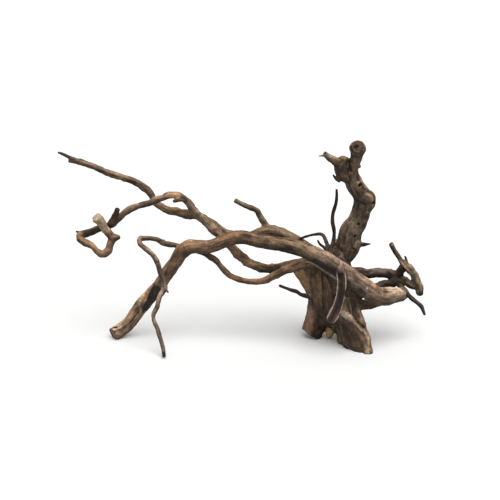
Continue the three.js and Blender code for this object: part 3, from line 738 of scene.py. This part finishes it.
def growWood():
    pieces, lines = [], []
    for name in rootRoutes:
        piece, line = growRoot(name)
        pieces.append(piece)
        lines.append(line)
    bpy.ops.object.select_all(action="DESELECT")
    for piece in pieces:
        piece.select_set(True)
    wood = pieces[0]
    bpy.context.view_layer.objects.active = wood
    bpy.ops.object.join()
    wood.name = "spiderwood"
    wood.data.name = "spiderwood"
    print("roots joined", len(lines))
    applyModifier(wood, "REMESH", mode="VOXEL", voxel_size=growth["voxel"] * mm, adaptivity=0)
    print("fused", len(wood.data.vertices))
    fillCrotches(wood.data, growth["filletRounds"])
    calmFront(wood.data, growth["frontRounds"])
    evenOut(wood.data, growth["evenRounds"])
    print("crotches filled")
    return wood, lines

def carveGrain(wood, lines):
    mesh = wood.data
    points = readPoints(mesh)
    normals = readNormals(mesh)
    height = sum(grainHeights(points, readRoots(points, lines)))
    for *place, relief, _, _ in woodMarks.values():
        near, weight = markWeights(points, *place)
        height[near] += weight * relief
    height *= mm
    soleHeight, soleSlope = growth["sole"]
    height[(points[:, 2] < soleHeight * mm) & (normals[:, 2] < soleSlope)] = 0
    near, inside, _, depth = hollowFront(points, normals, lines)
    height[near] *= 1 - trough["smoothed"] * inside
    points += normals * height[:, None]
    points[near, 1] += inside * (depth - points[near, 1])
    points[:, 2] = np.maximum(points[:, 2], 0)
    writePoints(mesh, points)
    mesh.calc_loop_triangles()
    ratio = growth["triangles"] / len(mesh.loop_triangles)
    if ratio < 1:
        applyModifier(wood, "DECIMATE", ratio=ratio)
    bpy.ops.object.select_all(action="DESELECT")
    wood.select_set(True)
    bpy.context.view_layer.objects.active = wood
    bpy.ops.object.shade_smooth()
    wood.data.calc_loop_triangles()
    print("carved", len(wood.data.loop_triangles), "triangles")

# Painted light and shade that go into the wood's colour, together with its mottling
# Three numbers are a strength, where it starts and where it is full, unless a note says otherwise
shading = {
    "lightness": 0.72,                   # of the whole wood
    "contrast": 1.12,
    "hollowRounds": 14,                  # smoothing that tells grooves from ridges
    "groove": (0.6, 0.03, 0.5), "ridge": (0.35, 0.02, 0.5),     # painted shade in grooves and painted highlight on ridges, by mm below and above the smoothed skin
    "crack": (0.45, 0.1, 0.5),           # painted shade in cracks, by mm deep
    "fibre": (0.6, -0.6, 0.5),           # strength, least and most height in mm
    "underside": 0.24,                   # light of a face that looks down
    "flank": (0.34, -0.7, 0.35), "top": (1.0, 0.12, 0.85),      # added by how far it looks up
    "blotch": 15,                        # mm
    "mottle": (0.7, (4, 4, 9)), "fleck": (0.7, (2.6, 2.6, 6)),  # strength, mm across and along the grain
    "patches": (0.5, 0.25, 2.1),         # strength of all three, least and most light
    "warmth": (23, (0.07, 0.0, -0.09)),  # mm, change of red, green and blue
}

endGrain = {
    "depth": 2.2,                        # mm from a root's end that belong to the cut
    "facing": (0.55, 0.85),
    "samples": 12,                       # last samples, which give the cut its size
    "rings": 17, "ringWave": 2, "waveSize": 3,
    "ring": (0.4, 0.2, 0.9), "rim": (0.5, 0.65, 0.95),
}

def woodShade(mesh, points, normals, found, space):      # painted light and shade of the wood (grooves, cracks, faces down and up) with its own mottling, 1 in the middle
    _, fibres, _, cracks = grainHeights(points, found)
    mean = neighbourMean(mesh)
    rounded = points
    for turn in range(shading["hollowRounds"]):
        rounded = mean(rounded)
    hollow = rowDots(rounded - points, normals) / mm     # positive in grooves and crotches
    shade = 1 - ramp(shading["groove"], hollow) + ramp(shading["ridge"], -hollow)
    strength, least, most = shading["fibre"]
    shade *= 1 + strength * np.clip(fibres, least, most)
    shade *= 1 - ramp(shading["crack"], -cracks)
    upward = normals[:, 2]
    shade *= shading["underside"] + ramp(shading["flank"], upward) + ramp(shading["top"], upward)
    patches = latticeNoise(points / (shading["blotch"] * mm), seeds["blotch"])
    for pattern in ("mottle", "fleck"):
        strength, size = shading[pattern]
        patches = patches + strength * latticeNoise(space / size, seeds[pattern])
    strength, least, most = shading["patches"]
    shade *= np.clip(1 + strength * patches, least, most)
    return shade**shading["contrast"]

def paintEnds(tint, points, normals, found, lines):      # end grain with rings, darker at its edge
    facing = rowDots(normals, found["tangent"])
    wave = endGrain["ringWave"] * latticeNoise(points / (endGrain["waveSize"] * mm), seeds["ring"])
    for number, line in enumerate(lines):
        if line["name"] not in endTints:
            continue
        atEnd = (found["owner"] == number) & (found["along"] > line["along"][-1] / mm - endGrain["depth"])
        face = np.where(atEnd, smoothStep(*endGrain["facing"], facing), 0)[:, None]
        size = line["radii"][-endGrain["samples"]:].max()
        spread = np.linalg.norm(points - line["points"][-1], axis=1) / size
        rings = 1 - ramp(endGrain["ring"], np.sin(spread * endGrain["rings"] + wave))
        rings *= 1 - ramp(endGrain["rim"], spread)
        tint = tint * (1 - face) + face * rings[:, None] * linearColour(endTints[line["name"]])
    return tint

def paintWood(wood, lines):              # colours with painted light and shade, and grain directions, kept with the mesh
    mesh = wood.data
    points = readPoints(mesh)
    normals = readNormals(mesh)
    found = readRoots(points, lines)
    space = grainSpace(found)
    shade = woodShade(mesh, points, normals, found, space)
    # the roots' tints times the painted light and shade
    tint = found["tint"] * shade[:, None]
    size, change = shading["warmth"]
    tint = tint * (1 + latticeNoise(points / (size * mm), seeds["warmth"])[:, None] * np.array(change))
    tint = paintEnds(tint, points, normals, found, lines)
    for *place, _, colour, strength in woodMarks.values():
        near, weight = markWeights(points, *place)
        weight = (weight * strength)[:, None]
        coat = linearColour(colour) * np.sqrt(np.clip(shade[near], *markEdge["light"]))[:, None]
        tint[near] = tint[near] * (1 - weight) + coat * weight
    near, inside, rim, _ = hollowFront(points, normals, lines)
    rim = trough["rimStrength"] * rim[:, None]
    tint[near] *= (1 - trough["shade"] * inside[:, None]) * (1 - rim)
    tint[near] += rim * linearColour(trough["rimTint"])
    tint = tint * shading["lightness"]
    colours = np.concatenate([np.clip(tint, 0, 1), np.ones((len(points), 1))], axis=1)
    # colours that carry the painted light and shade
    mesh.attributes.new("woodTintAndPaintedShade", "FLOAT_COLOR", "POINT").data.foreach_set("color", colours.ravel())
    mesh.attributes.new("woodGrain", "FLOAT_VECTOR", "POINT").data.foreach_set("vector", space.ravel())
    print("painted", len(points), "points")

woodFinish = {
    "gloss": 0.22,
    "roughness": (0.62, 0.9),
    "fibreStretch": (1.1, 1.1, 0.07),    # far longer along the grain than across
    "fibre": (1.6, 5, 0.62), "speckle": (430, 4, 0.65), "pore": (900, 3, 0.5),   # scale, detail, roughness
    "fibreLight": ((0.28, 0.72), (0.62, 1.32)),      # range of the pattern, and the light it gives
    "speckleLight": ((0.32, 0.68), (0.6, 1.35)),
    "poreDepth": 0.35,                   # beside a fibre's
    "bump": 0.35, "bumpDepth": 0.6,      # strength, and depth in mm
}

def attributeNode(nodes, name):
    attribute = nodes.new("ShaderNodeAttribute")
    attribute.attribute_name = name
    return attribute

def noiseNode(tree, pattern, place):     # a pattern of the finish, at a place
    noise = tree.nodes.new("ShaderNodeTexNoise")
    for socket, value in zip(("Scale", "Detail", "Roughness"), woodFinish[pattern]):
        noise.inputs[socket].default_value = value
    tree.links.new(place, noise.inputs["Vector"])
    return noise.outputs["Fac"]

def rangeNode(tree, value, fromRange, toRange):
    scaled = tree.nodes.new("ShaderNodeMapRange")
    for socket, number in zip(("From Min", "From Max", "To Min", "To Max"), fromRange + toRange):
        scaled.inputs[socket].default_value = number
    tree.links.new(value, scaled.inputs["Value"])
    return scaled.outputs["Result"]

def multiplyNode(tree, colour, light):
    mixed = tree.nodes.new("ShaderNodeMix")
    mixed.data_type = "RGBA"
    mixed.blend_type = "MULTIPLY"
    mixed.inputs["Factor"].default_value = 1
    tree.links.new(colour, mixed.inputs["A"])
    tree.links.new(light, mixed.inputs["B"])
    return mixed.outputs["Result"]

def woodMaterial():
    material = bpy.data.materials.new("dryWood")
    material.use_nodes = True
    tree = material.node_tree
    nodes, links = tree.nodes, tree.links
    shader = nodes["Principled BSDF"]
    shader.inputs["Specular IOR Level"].default_value = woodFinish["gloss"]
    stretch = nodes.new("ShaderNodeMapping")
    stretch.inputs["Scale"].default_value = woodFinish["fibreStretch"]
    links.new(attributeNode(nodes, "woodGrain").outputs["Vector"], stretch.inputs["Vector"])
    place = nodes.new("ShaderNodeTexCoord").outputs["Object"]
    fibre = noiseNode(tree, "fibre", stretch.outputs["Vector"])
    speckle = noiseNode(tree, "speckle", place)
    pores = noiseNode(tree, "pore", place)
    colour = attributeNode(nodes, "woodTintAndPaintedShade").outputs["Color"]
    colour = multiplyNode(tree, colour, rangeNode(tree, fibre, *woodFinish["fibreLight"]))
    colour = multiplyNode(tree, colour, rangeNode(tree, speckle, *woodFinish["speckleLight"]))
    links.new(colour, shader.inputs["Base Color"])
    links.new(rangeNode(tree, pores, (0, 1), woodFinish["roughness"]), shader.inputs["Roughness"])
    relief = nodes.new("ShaderNodeMath")
    relief.operation = "MULTIPLY_ADD"
    relief.inputs[1].default_value = woodFinish["poreDepth"]
    links.new(pores, relief.inputs[0])
    links.new(fibre, relief.inputs[2])
    bump = nodes.new("ShaderNodeBump")
    bump.inputs["Strength"].default_value = woodFinish["bump"]
    bump.inputs["Distance"].default_value = woodFinish["bumpDepth"] * mm
    links.new(relief.outputs["Value"], bump.inputs["Height"])
    links.new(bump.outputs["Normal"], shader.inputs["Normal"])
    return material

wood, centreLines = growWood()
carveGrain(wood, centreLines)
paintWood(wood, centreLines)
wood.data.materials.clear()
wood.data.materials.append(woodMaterial())
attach(wood, "root")
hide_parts("spiderwood_root")

studio = {
    "floorSize": 40, "floorColour": (0.86, 0.86, 0.85, 1), "floorRoughness": 0.9,
    "worldColour": (1, 1, 1, 1), "world": 0.6,
    "sunPower": 2.4, "sunSoftness": 50, "sunPlace": (0.15, -0.75, 1.6),
    "target": (-0.130, 0.006, 0.123),    # centre of the picture, on the wood
    "distance": 1.9, "elevation": 18, "lens": 112.13, "sensor": 36,
}

def aim(thing, place, target):
    way = np.array(target) - np.array(place)
    flat = math.hypot(way[0], way[1])
    thing.location = place
    thing.rotation_euler = (math.atan2(flat, -way[2]), 0, math.atan2(-way[0], way[1]))

def setStudio():
    bpy.ops.object.select_all(action="DESELECT")
    bpy.ops.mesh.primitive_plane_add(size=studio["floorSize"], location=(0, 0, 0))
    floor = bpy.context.object
    floor.name = "studioFloor"
    paint = bpy.data.materials.new("paleFloor")
    paint.use_nodes = True
    paintInputs = paint.node_tree.nodes["Principled BSDF"].inputs
    paintInputs["Base Color"].default_value = studio["floorColour"]
    paintInputs["Roughness"].default_value = studio["floorRoughness"]
    floor.data.materials.append(paint)
    world = bpy.data.worlds.new("studioWorld")
    world.use_nodes = True
    worldInputs = world.node_tree.nodes["Background"].inputs
    worldInputs["Color"].default_value = studio["worldColour"]
    worldInputs["Strength"].default_value = studio["world"]
    bpy.context.scene.world = world
    bpy.ops.object.light_add(type="SUN")
    sun = bpy.context.object
    sun.name = "softSun"
    sun.data.energy = studio["sunPower"]
    sun.data.angle = math.radians(studio["sunSoftness"])
    aim(sun, studio["sunPlace"], studio["target"])
    rise = math.radians(studio["elevation"])
    back = np.array([0, -math.cos(rise), math.sin(rise)]) * studio["distance"]
    bpy.ops.object.camera_add()
    camera = bpy.context.object
    camera.name = "photoCamera"
    camera.data.lens = studio["lens"]
    camera.data.sensor_width = studio["sensor"]
    aim(camera, np.array(studio["target"]) + back, studio["target"])
    bpy.context.scene.camera = camera
    bpy.context.scene.view_settings.view_transform = "Standard"
    print("studio set")

setStudio()
